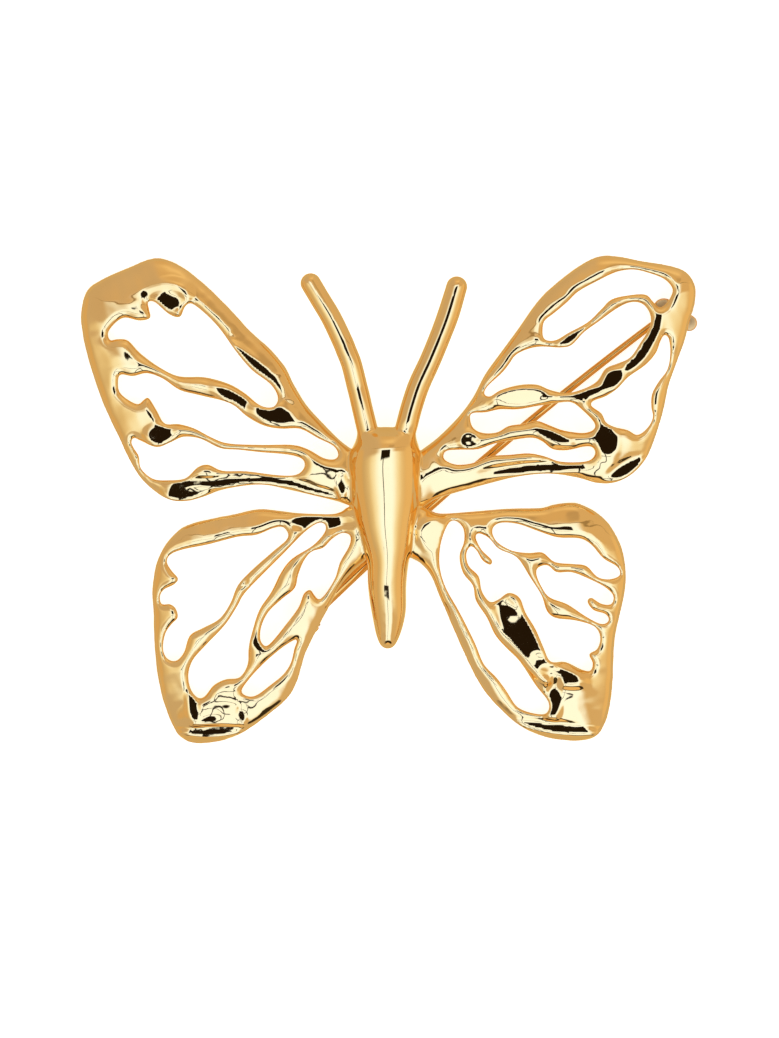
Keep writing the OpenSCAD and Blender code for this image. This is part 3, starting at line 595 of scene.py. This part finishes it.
def addNode(tree, kind, settings=None, links=None, values=None):
    # One node with its settings, its links as {input: output socket} and its constant inputs.
    node = tree.nodes.new(kind)
    for name, value in (settings or {}).items():
        setattr(node, name, value)
    for key, value in (values or {}).items():
        node.inputs[key].default_value = value
    for key, socket in (links or {}).items():
        tree.links.new(socket, node.inputs[key])
    return node


def newMaterial(name, values):
    # A material with its Principled shader, set to what is the same all over. Hands back the shader's
    # inputs for the rest, and Object coordinates for the patterns.
    material = bpy.data.materials.new(name)
    material.use_nodes = True
    tree = material.node_tree
    tree.nodes.clear()
    shader = addNode(tree, "ShaderNodeBsdfPrincipled", values=values)
    addNode(tree, "ShaderNodeOutputMaterial", links={"Surface": shader.outputs[0]})
    return material, tree, shader.inputs, addNode(tree, "ShaderNodeTexCoord").outputs["Object"]


# Finish of the casting: yellow gold plate over cast metal, buffed to a mirror.
plate = {
    "colour": "#FFE2A8",          # pale yellow gold
    "cloudMm": 7.0,               # plate thickness wanders over this length and shifts the hue a little
    "deeper": "#FCD798",
    "edge": "#FFEFC8",            # colour where the surface turns away from the eye
    "roughness": 0.035,
    "haze": 0.03,                 # roughness added where the buff has left a faint haze
    "hazeMm": 2.5,                # size of such places
    "hazeFrom": 0.45, "hazeTo": 0.8,   # noise where it sets in and where it is full
    "rippleMm": 1.6,              # ripples that the buffing wheel leaves in soft cast metal
    "ripple": 0.011,              # their height in mm
}


def polishedPlate():
    # Mirror polished plate: deep reflections with soft ripples, nearly no roughness.
    material, tree, inputs, where = newMaterial("polished_gold_plate", {
        "Metallic": 1.0, "Specular Tint": toLinear(plate["edge"])})
    cloud = addNode(tree, "ShaderNodeTexNoise", links={"Vector": where},
                    values={"Scale": 1000 / plate["cloudMm"], "Detail": 2.0, "Roughness": 0.5})
    tint = addNode(tree, "ShaderNodeMix", {"data_type": "RGBA"}, {"Factor": cloud.outputs["Fac"]},
                   {6: toLinear(plate["colour"]), 7: toLinear(plate["deeper"])})
    haze = addNode(tree, "ShaderNodeTexNoise", links={"Vector": where},
                   values={"Scale": 1000 / plate["hazeMm"], "Detail": 4.0, "Roughness": 0.6})
    rough = addNode(tree, "ShaderNodeMapRange", links={"Value": haze.outputs["Fac"]},
                    values={"From Min": plate["hazeFrom"], "From Max": plate["hazeTo"],
                            "To Min": plate["roughness"], "To Max": plate["roughness"] + plate["haze"]})
    ripple = addNode(tree, "ShaderNodeTexNoise", links={"Vector": where},
                     values={"Scale": 1000 / plate["rippleMm"], "Detail": 1.5, "Roughness": 0.45})
    bump = addNode(tree, "ShaderNodeBump", links={"Height": ripple.outputs["Fac"]},
                   values={"Distance": plate["ripple"] * 0.001})
    tree.links.new(tint.outputs[2], inputs["Base Color"])
    tree.links.new(rough.outputs[0], inputs["Roughness"])
    tree.links.new(bump.outputs[0], inputs["Normal"])
    return material


castPiece = makePiece("butterfly_casting", castVerts, castFaces, polishedPlate())
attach(castPiece, "brooch")
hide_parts("butterfly")

# The pin and its hinge: lengths in mm, the same as in the CAD solids.
pin = {
    "level": 1.5,                                # stem's middle above the table
    "stemD": 1.35, "catchD": 0.85,               # wire at the hinge, and at the start of its point
    "pointL": 2.4, "pointForm": 1.7,             # a form of 2 is half an ellipse, less is sharper
    "bow": 1.1,                                  # how far the wire bows sideways half way
    "start": 0.0125,                             # share of the way where it starts, in the eye's ring
    "eyeD": 1.9, "eyeL": 1.6, "eyeSoft": 0.14,   # eye: across, along the rivet, rounded edges
    "rivetD": 0.9, "headD": 1.4, "headT": 0.28,  # rivet, and its heads: across and high
    "headUnder": 0.97,                           # share of headD where a head lies on its ear
    "headSide": 0.25,                            # share of headT that stands straight
    "earT": 0.65,                                # ears' thickness
    "sideGap": 0.1, "holdGap": 0.025,            # room between eye and ears, and under the heads
    "turnGap": 0.05,                             # room round the rivet in the eye
}
hingeAt, tipAt = place((-82, -122)), place((299, 201.5))
stemRun = np.linalg.norm(tipAt - hingeAt)
stemWay = (tipAt - hingeAt) / stemRun
hingeMiddle = np.array([*hingeAt, pin["level"]])
upward = np.array([0.0, 0.0, 1.0])
alongStem = np.array([*stemWay, 0.0])
besideStem = np.array([-stemWay[1], stemWay[0], 0.0])

# Finish of the stem: drawn wire, plated and lightly polished, so fine draw lines run along it.
wire = {
    "colour": "#F2B866", "edge": "#FFE6BC", "roughness": 0.09,
    "smoothest": 0.6, "roughest": 1.5,               # how far the lines change it, as shares
    "lineMm": 0.12, "lineRunMm": 20, "line": 0.002,  # lines' spacing, length and depth
}


def drawnWire():
    # Plated wire: fine lines along the wire. Object coordinates are turned along the stem and
    # divided by the lines' length and spacing.
    material, tree, inputs, where = newMaterial("drawn_gold_wire", {
        "Base Color": toLinear(wire["colour"]), "Metallic": 1.0, "Specular Tint": toLinear(wire["edge"])})
    spacing = wire["lineMm"] * 0.001
    onWire = addNode(tree, "ShaderNodeMapping", {"vector_type": "TEXTURE"}, {"Vector": where},
                     {"Rotation": (0, 0, math.atan2(stemWay[1], stemWay[0])),
                      "Scale": (wire["lineRunMm"] * 0.001, spacing, spacing)})
    lines = addNode(tree, "ShaderNodeTexNoise", links={"Vector": onWire.outputs[0]},
                    values={"Scale": 1.0, "Detail": 2.0})
    rough = addNode(tree, "ShaderNodeMapRange", links={"Value": lines.outputs["Fac"]},
                    values={"To Min": wire["roughness"] * wire["smoothest"],
                            "To Max": wire["roughness"] * wire["roughest"]})
    bump = addNode(tree, "ShaderNodeBump", links={"Height": lines.outputs["Fac"]},
                   values={"Distance": wire["line"] * 0.001})
    tree.links.new(rough.outputs[0], inputs["Roughness"])
    tree.links.new(bump.outputs[0], inputs["Normal"])
    return material


def stemPoint(t):
    # Middle line of the stem: a straight line bowed sideways by a parabola.
    t = np.atleast_1d(np.asarray(t, float))[:, None]
    flat = hingeAt + t * (tipAt - hingeAt) + 4 * pin["bow"] * t * (1 - t) * besideStem[:2]
    return np.hstack([flat, np.full((len(flat), 1), pin["level"])])


def gridFaces(m, n, endless=False):
    # Four sided faces between m closed loops of n points, and from the last on to the first if endless.
    i, j = np.meshgrid(np.arange(m if endless else m - 1), np.arange(n), indexing="ij")
    beside, ahead = (j + 1) % n, (i + 1) % m * n
    return np.stack([i * n + j, i * n + beside, ahead + beside, ahead + j], -1).reshape(-1, 4)


def capFaces(n):
    # Closes a loop of n points by strips from one side of it to the other.
    c = np.arange(n // 2 - 1)
    return np.stack([c, n - 1 - c, n - 2 - c, c + 1], -1)


def facedOut(verts, faces):
    # Turns the faces round where the volume that they close comes out negative: the sum of the
    # triple products of the corners of their halves.
    p, q, r, s = (verts[faces[:, k]] for k in range(4))
    volume = (np.einsum("ij,ij->i", p, np.cross(q, r)) + np.einsum("ij,ij->i", p, np.cross(r, s))).sum()
    return verts, faces if volume > 0 else faces[:, ::-1]


def carried(path, across, up, profile):
    # A closed profile carried along a path: each of its (u, v) loops is laid at a path point as
    # point + u * across + v * up, and both ends are capped.
    loops = path[:, None, :] + profile[..., :1] * across[:, None, :] + profile[..., 1:] * up[:, None, :]
    m, n = loops.shape[:2]
    faces = np.vstack([gridFaces(m, n), capFaces(n), (capFaces(n) + (m - 1) * n)[:, ::-1]])
    return facedOut(loops.reshape(-1, 3), faces)


def arc(radius, angles, middle=0):
    # Points at angles in radians on a circle round (middle, 0).
    return np.stack([middle + radius * np.cos(angles), radius * np.sin(angles)], -1)


def circles(r, sides):
    # Points evenly round a circle, for each radius in r.
    return arc(r[:, None], (np.arange(sides) + 0.5) * 2 * np.pi / sides)


def together(parts):
    # Several vertex and face arrays as one.
    starts = np.cumsum([0] + [len(v) for v, f in parts[:-1]])
    return np.vstack([v for v, f in parts]), np.vstack([f + s for (v, f), s in zip(parts, starts)])


def turned(centre, axis, stops, sides=48):
    # A round piece turned about a level axis: each stop is (along, radius).
    stops = np.array(stops, float)
    same = np.ones((len(stops), 1))
    return carried(centre + stops[:, :1] * axis, same * np.cross(upward, axis), same * upward,
                   circles(stops[:, 1], sides))


def ringOf(centre, axis, inner, outer, length, soft, sides=48):
    # A ring about a level axis: an oblong of (along, radius) with corners of radius soft, swept once
    # round. Each of its points is centre + along * axis + radius * spoke.
    a = np.arange(0, 2 * np.pi, np.pi / 10)
    nudge = 1e-6   # gives the angles on the axes a side
    tall, wide = (outer - inner) / 2 - soft, length / 2 - soft
    u = np.sign(np.cos(a + nudge)) * wide + soft * np.cos(a)
    v = (inner + outer) / 2 + np.sign(np.sin(a + nudge)) * tall + soft * np.sin(a)
    b = np.arange(sides) * 2 * np.pi / sides
    spoke = np.cos(b)[:, None] * np.cross(upward, axis) + np.sin(b)[:, None] * upward
    verts = centre + u[None, :, None] * axis + v[None, :, None] * spoke[:, None, :]
    return facedOut(verts.reshape(-1, 3), gridFaces(sides, len(a), endless=True))


print("making the pin and its hinge")
goldWire = drawnWire()

# Stem: round wire that tapers to the catch and then to its point, with the eye's ring at its foot.
wireRings, pointRings, wireSides = 160, 15, 28
leastShare = 0.004   # keeps the last ring from closing to nothing
pointStart = 1 - pin["pointL"] / stemRun
pointShare = np.linspace(0, 1, pointRings + 1)[1:]
wireShare = np.linspace(pin["start"], pointStart, wireRings)
taper = np.interp(wireShare, [0, pointStart], [pin["stemD"], pin["catchD"]])
point = pin["catchD"] * np.sqrt(np.clip(1 - pointShare ** pin["pointForm"], leastShare, 1))
path = stemPoint(np.concatenate([wireShare, pointStart + (1 - pointStart) * pointShare]))
way = np.gradient(path, axis=0)
way /= np.linalg.norm(way, axis=1, keepdims=True)
across = np.stack([-way[:, 1], way[:, 0], np.zeros(len(path))], -1)
wireMesh = carried(path, across, np.repeat([upward], len(path), 0),
                   circles(0.5 * np.concatenate([taper, point]), wireSides))
eyeMesh = ringOf(hingeMiddle, besideStem, pin["rivetD"] / 2 + pin["turnGap"], pin["eyeD"] / 2,
                 pin["eyeL"], pin["eyeSoft"])
stem = makePiece("pin_stem_wire", *together([wireMesh, eyeMesh]), goldWire)
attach(stem, "stem")
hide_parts("pin_stem")

# Rivet: a shank with a low domed head at each end, just clear of the ears.
earMid = pin["eyeL"] / 2 + pin["sideGap"] + pin["earT"] / 2
headAt = earMid + pin["earT"] / 2 + pin["holdGap"]
headR = pin["headD"] / 2
headStops = [(headAt, pin["rivetD"] / 2), (headAt, headR * pin["headUnder"])]
for b in np.radians([0, 15, 30, 45, 60, 75, 88]):
    high = pin["headSide"] + (1 - pin["headSide"]) * np.sin(b)
    headStops.append((headAt + pin["headT"] * high, headR * np.cos(b)))
rivetStops = [(-s, r) for s, r in headStops[::-1]] + headStops
rivet = makePiece("hinge_rivet_domed", *turned(hingeMiddle, besideStem, rivetStops), goldWire)
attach(rivet, "brooch")
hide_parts("hinge_rivet")

# The ears and the catch: plated but never buffed, so a soft satin. Lengths in mm, as in the CAD.
fitting = {
    "colour": "#F6C888", "roughness": 0.3,
    "grainMm": 0.35, "grain": 0.006,              # size and height of its grain
    "earRim": 0.2, "earTop": 3.78,                # metal round the eye's end, and the ears' top
    "firstStep": 0.12, "soft": 0.16,              # share of an ear's side, and rounded edges
    "catchShare": 0.969, "catchGap": 0.18,        # place along the stem, and room round it
    "mouth": 0.9,                                 # hook's mouth, as a share of its bore
    "hookT": 0.75, "hookL": 2.2,                  # its metal, and its length along the stem
    "footT": 0.8, "footRise": 0.1,                # foot plate, and how far it lies over the bore
    "footInner": (277, 192), "footInnerR": 1.42,  # its two ends, in the chart's parts
    "footOuter": (302.5, 178), "footOuterR": 1.03, "footSoft": 0.22,
}


def satinFitting():
    # Satin plate: even roughness with a fine grain of bumps.
    material, tree, inputs, where = newMaterial("satin_gold_plate", {
        "Base Color": toLinear(fitting["colour"]), "Metallic": 1.0, "Roughness": fitting["roughness"]})
    grain = addNode(tree, "ShaderNodeTexNoise", links={"Vector": where},
                    values={"Scale": 1000 / fitting["grainMm"], "Detail": 2.0})
    bump = addNode(tree, "ShaderNodeBump", links={"Height": grain.outputs["Fac"]},
                   values={"Distance": fitting["grain"] * 0.001})
    tree.links.new(bump.outputs[0], inputs["Normal"])
    return material


def drawnIn(outline, by):
    # Each point of a loop moved square off the line between its neighbours, towards the inside.
    line = np.roll(outline, -1, 0) - np.roll(outline, 1, 0)
    line /= np.linalg.norm(line, axis=1, keepdims=True) + 1e-9
    return outline + by * np.stack([-line[:, 1], line[:, 0]], -1)


def plateOf(centre, across, up, outline, thick, soft):
    # A flat plate: an anticlockwise outline carried square through the thickness, drawn in at both
    # faces by a quarter circle of radius soft, so that its edges are round.
    a = np.radians([0, 22, 45, 68, 90])
    along = np.concatenate([soft * (1 - np.cos(a)), thick - soft * (1 - np.cos(a))[::-1]]) - thick / 2
    inset = np.concatenate([soft * (1 - np.sin(a)), soft * (1 - np.sin(a))[::-1]])
    loops = np.array([drawnIn(outline, by) for by in inset])
    same = np.ones((len(along), 1))
    return carried(centre + along[:, None] * np.cross(across, up), same * across, same * up, loops)


print("making the ears and the catch")
# Ears: two plates that are round below and run up into the wing's back.
earR = pin["eyeD"] / 2 + fitting["earRim"]
sideRise = np.linspace(fitting["firstStep"], 1, 6)[:, None] * (fitting["earTop"] - pin["level"])
rightSide = np.vstack([arc(earR, np.radians(np.linspace(-90, 0, 14))),
                       np.hstack([np.full((6, 1), earR), sideRise])])
rightSide[0, 0] = 0.03   # keeps the lowest points of the two sides apart
earOutline = np.vstack([rightSide, (rightSide * [-1, 1])[::-1]])
ears = [plateOf(hingeMiddle + end * earMid * besideStem, alongStem, upward, earOutline, pin["earT"],
                fitting["soft"]) for end in (-1, 1)]

# Catch: a hook round the stem, open towards the table, on a foot plate that laps the wing's back.
bore = pin["catchD"] / 2 + fitting["catchGap"]
outer = bore + fitting["hookT"]
outerEnd, boreEnd = math.acos(fitting["mouth"] * bore / outer), math.acos(fitting["mouth"])
hookOutline = np.vstack([arc(outer, np.linspace(-outerEnd, math.pi + outerEnd, 40)),
                         arc(bore, np.linspace(math.pi + boreEnd, -boreEnd, 40))])
catchAt, before, after = (stemPoint(fitting["catchShare"] + step)[0] for step in (0, -0.01, 0.01))
catchWay = (after - before) / np.linalg.norm(after - before)
hook = plateOf(catchAt, np.cross(upward, catchWay), upward, hookOutline, fitting["hookL"], fitting["soft"])
footInner, footOuter = place(fitting["footInner"]), place(fitting["footOuter"])
footRun = np.linalg.norm(footOuter - footInner)
footWay = np.array([*(footOuter - footInner) / footRun, 0.0])
bend = math.acos((fitting["footInnerR"] - fitting["footOuterR"]) / footRun)
apart = 0.01   # radians, keeps the end points of the two sides apart
leftSide = np.vstack([arc(fitting["footOuterR"], np.linspace(apart, bend, 18), footRun),
                      arc(fitting["footInnerR"], np.linspace(bend, math.pi - apart, 18))])
footOutline = np.vstack([leftSide, (leftSide * [1, -1])[::-1]])
footMid = pin["level"] + bore + fitting["footRise"] + fitting["footT"] / 2
foot = plateOf(np.array([*footInner, footMid]), footWay, np.cross(upward, footWay), footOutline,
               fitting["footT"], fitting["footSoft"])
fittings = makePiece("hinge_ears_and_catch", *together(ears + [hook, foot]), satinFitting())
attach(fittings, "brooch")
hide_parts("butterfly")

# The studio's sky, all as linear light.
studio = {
    "tent": (0.64, 0.52, 0.40),        # paper, where no patch covers it
    "ground": (0.65, 0.51, 0.32),      # what polished metal sees just below the horizon
    "under": (1.02, 0.98, 0.86),       # and straight below
    "groundEdge": (-0.87, 0.12),       # height of a direction where one turns into the other, softness
    "horizon": (-0.06, 0.06),
}
# Patches laid over each other on the tent: left, right, bottom and top as the x and y of a direction,
# how soft the left and right sides and the bottom and top are, and the colour.
skyPatches = [
    (-1.8, -0.30, -0.75, 0.20, 0.25, 0.20, (0.61, 0.47, 0.28)),         # left wall of the tent
    (0.30, 1.80, -0.80, 0.60, 0.25, 0.25, (0.73, 0.53, 0.28)),          # right wall
    (-0.34, 0.46, 0.30, 1.80, 0.34, 0.20, (0.70, 0.50, 0.27)),          # wall beyond the antennae
    (-0.10, 0.50, 0.74, 0.93, 0.30, 0.08, (0.88, 0.68, 0.40)),          # strip of light along its top
    (-1.8, 1.80, -1.80, -0.84, 0.20, 0.05, (0.84, 0.58, 0.28)),         # open side, lit by a warm lamp
    (-0.72, 0.78, -0.84, 0.39, 0.24, 0.02, (0.92, 0.84, 0.62)),         # soft box: its warm border,
    (-0.54, 0.60, -0.82, 0.38, 0.20, 0.03, (1.00, 1.12, 1.18)),         # its cloth
    (-0.35, 0.46, -0.76, 0.36, 0.16, 0.10, (1.10, 1.34, 1.80)),         # and its bright middle
    (-1.8, -0.36, 0.10, 1.80, 0.20, 0.07, (0.61, 0.48, 0.33)),          # sheets that hide its corners
    (-1.8, -0.40, -1.80, -0.33, 0.12, 0.08, (0.60, 0.49, 0.35)),
    (0.42, 1.80, 0.12, 1.80, 0.16, 0.06, (0.70, 0.51, 0.29)),
    (0.44, 1.80, -1.80, -0.26, 0.12, 0.08, (0.68, 0.52, 0.32)),
    (-1.8, -0.92, -1.80, 1.80, 0.04, 0.20, (0.70, 0.49, 0.25)),         # low light from both sides
    (0.90, 1.80, -1.80, 1.80, 0.06, 0.20, (0.82, 0.60, 0.32)),
    (-0.60, 0.80, 0.385, 0.405, 0.20, 0.008, (0.34, 0.24, 0.12)),       # the soft box's upper bar
    (-0.50, 0.70, -0.93, -0.81, 0.20, 0.012, (0.04, 0.03, 0.015)),      # and its lower bar
    (-0.085, -0.045, -0.80, -0.03, 0.008, 0.02, (0.02, 0.015, 0.01)),   # gap in its cloth
    (-0.20, 0.25, -0.05, 0.25, 0.015, 0.015, (0.016, 0.010, 0.005)),    # camera
    (-0.36, 0.18, -0.276, -0.238, 0.03, 0.008, (0.02, 0.015, 0.01)),    # seam of the cloth
    (0.16, 0.42, 0.46, 0.62, 0.06, 0.06, (0.54, 0.39, 0.22)),           # a box behind the antennae
]


def buildSky():
    # Each patch covers what lies under it by (rise past left - rise past right) * (rise past bottom
    # - rise past top), where a rise goes from 0 to 1 over twice its softness as 3q^2 - 2q^3.
    world = bpy.data.worlds.new("studio_sky")
    bpy.context.scene.world = world
    world.use_nodes = True
    tree = world.node_tree
    tree.nodes.clear()
    where = addNode(tree, "ShaderNodeTexCoord").outputs["Generated"]
    x, y, z = addNode(tree, "ShaderNodeSeparateXYZ", links={0: where}).outputs
    smooth, blend = {"interpolation_type": "SMOOTHSTEP"}, {"data_type": "RGBA"}
    tent = addNode(tree, "ShaderNodeRGB")
    tent.outputs[0].default_value = (*studio["tent"], 1.0)
    colour = tent.outputs[0]
    for left, right, bottom, top, softX, softY, light in skyPatches:
        cover = []
        for value, low, high, soft in ((x, left, right, softX), (y, bottom, top, softY)):
            rises = [addNode(tree, "ShaderNodeMapRange", smooth, {"Value": value},
                             {"From Min": at - soft, "From Max": at + soft}) for at in (low, high)]
            cover.append(addNode(tree, "ShaderNodeMath", {"operation": "SUBTRACT"},
                                 {k: rises[k].outputs[0] for k in (0, 1)}))
        both = addNode(tree, "ShaderNodeMath", {"operation": "MULTIPLY"},
                       {k: cover[k].outputs[0] for k in (0, 1)})
        layer = addNode(tree, "ShaderNodeMix", blend, {0: both.outputs[0], 6: colour}, {7: (*light, 1.0)})
        colour = layer.outputs[2]
    farDown, down = (addNode(tree, "ShaderNodeMapRange", smooth, {"Value": z},
                             {"From Min": at - soft, "From Max": at + soft})
                     for at, soft in (studio["groundEdge"], studio["horizon"]))
    ground = addNode(tree, "ShaderNodeMix", blend, {0: farDown.outputs[0]},
                     {6: (*studio["under"], 1.0), 7: (*studio["ground"], 1.0)})
    whole = addNode(tree, "ShaderNodeMix", blend, {0: down.outputs[0], 6: ground.outputs[2], 7: colour})
    back = addNode(tree, "ShaderNodeBackground", links={"Color": whole.outputs[2]})
    addNode(tree, "ShaderNodeOutputWorld", links={"Surface": back.outputs[0]})


# The light table. Its glow is glowNear up to near and glowFar from far on. Lengths in mm.
lightTable = {"inner": 20, "outer": 3000, "rings": 40, "sides": 64, "colour": "#F4F4F2",
              "roughness": 0.5, "near": 90, "far": 450, "glowNear": 0.72, "glowFar": 0.2}


def buildTable():
    # A pale disc of rings, each wider than the last by the same factor, with a capped middle. It
    # glows under the brooch and dims with distance, so it casts no hard shade.
    n = lightTable["sides"]
    ring = np.geomspace(lightTable["inner"], lightTable["outer"], lightTable["rings"])[:, None]
    a = np.arange(n) * 2 * np.pi / n
    verts = np.stack([ring * np.cos(a), ring * np.sin(a), 0 * ring * a], -1).reshape(-1, 3)
    faces = np.vstack([gridFaces(len(ring), n), capFaces(n)])[:, ::-1]
    material, tree, inputs, where = newMaterial("light_table", {
        "Base Color": toLinear(lightTable["colour"]), "Roughness": lightTable["roughness"],
        "Emission Color": (1, 1, 1, 1)})
    away = addNode(tree, "ShaderNodeVectorMath", {"operation": "LENGTH"}, {0: where})
    glow = addNode(tree, "ShaderNodeMapRange", {"interpolation_type": "SMOOTHSTEP"},
                   {"Value": away.outputs["Value"]},
                   {"From Min": lightTable["near"] * 0.001, "From Max": lightTable["far"] * 0.001,
                    "To Min": lightTable["glowNear"], "To Max": lightTable["glowFar"]})
    tree.links.new(glow.outputs[0], inputs["Emission Strength"])
    table = makePiece("table", verts, faces, material)
    table.visible_glossy = False   # its mirror image would wash out the rounded edges


# The camera: its height, the point that it looks down at, how wide the picture is at a level, and
# the picture's pixels. Lengths in mm.
look = {"up": 1200.0, "aim": (0.19, -2.45), "wide": 101.0, "level": 4.0, "sensor": 36.0,
        "pixels": (779, 1038)}


def buildCamera():
    # Looks straight down, as the photograph looks at the brooch's face. The lens is sensor * distance
    # / picture, for the picture's longer side.
    camera = bpy.data.objects.new("camera", bpy.data.cameras.new("camera"))
    bpy.context.scene.collection.objects.link(camera)
    bpy.context.scene.camera = camera
    camera.location = np.array([*look["aim"], look["up"]]) * 0.001
    camera.data.sensor_width = look["sensor"]
    tall = look["wide"] * look["pixels"][1] / look["pixels"][0]
    camera.data.lens = look["sensor"] * (look["up"] - look["level"]) / tall
    camera.data.clip_start, camera.data.clip_end = 0.05, 20.0   # metres


print("lighting")
buildSky()
buildTable()
buildCamera()
view = bpy.context.scene.view_settings
view.view_transform = "Standard"
view.look = "None"
